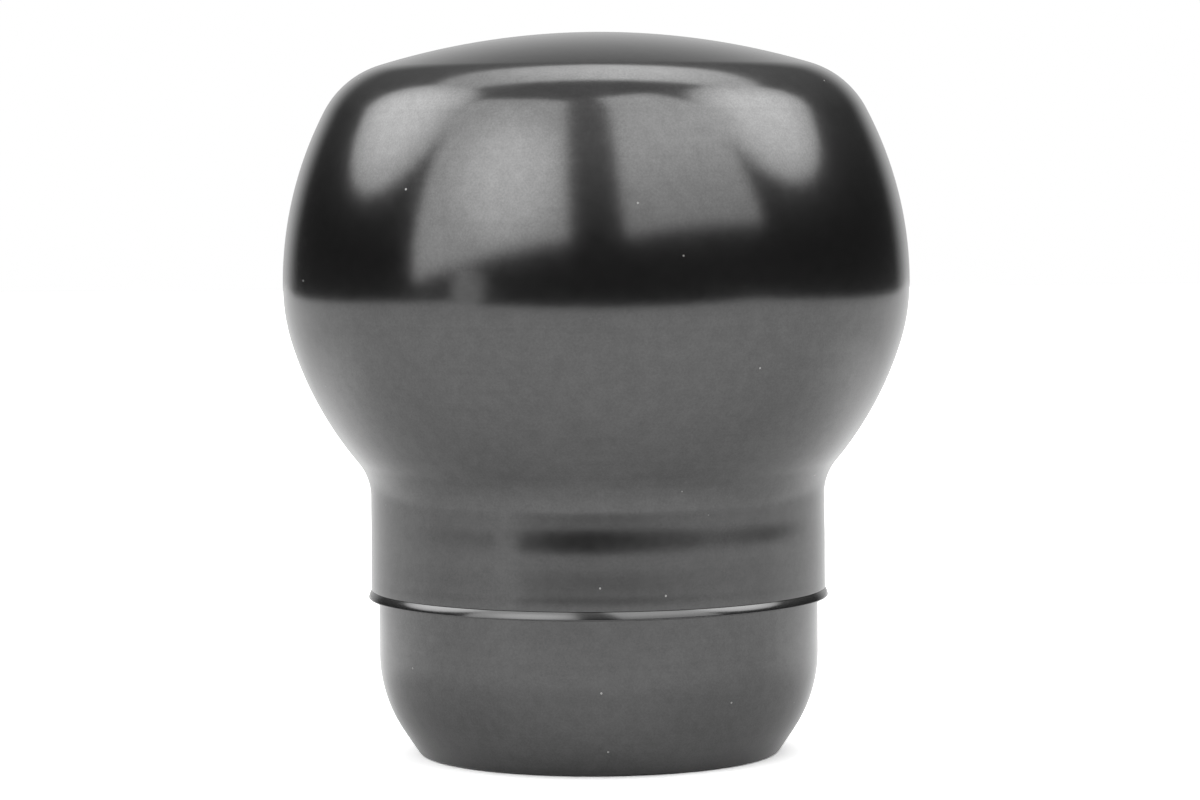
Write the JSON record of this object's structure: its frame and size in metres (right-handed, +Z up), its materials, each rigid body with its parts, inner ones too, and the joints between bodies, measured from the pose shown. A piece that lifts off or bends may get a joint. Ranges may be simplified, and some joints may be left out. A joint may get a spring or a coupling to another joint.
{
  "type": "gear shift knob",
  "caption": "Round-bellied turned metal gear shift knob with a slimmer neck, a rubber ring, a bowl-shaped base collar and a threaded insert for the lever.",
  "frame": {"origin": "middle of the flat foot under the base collar, on the knob's turning axis", "axes": "+Z up along the turning axis, from the foot to the crown"},
  "size_m": [0.05, 0.05, 0.0576],
  "materials": {
    "head_metal": "dark grey anodised, fine turned satin",
    "collar_metal": "dark grey anodised, fine turned satin",
    "ring_rubber": "smooth black rubber, slightly glossy",
    "insert_brass": "plain machined"
  },
  "bodies": {
    "root": {"knob_head": "head_metal", "base_collar": "collar_metal", "rubber_ring": "ring_rubber", "threaded_insert": "insert_brass"}
  },
  "joints": []
}
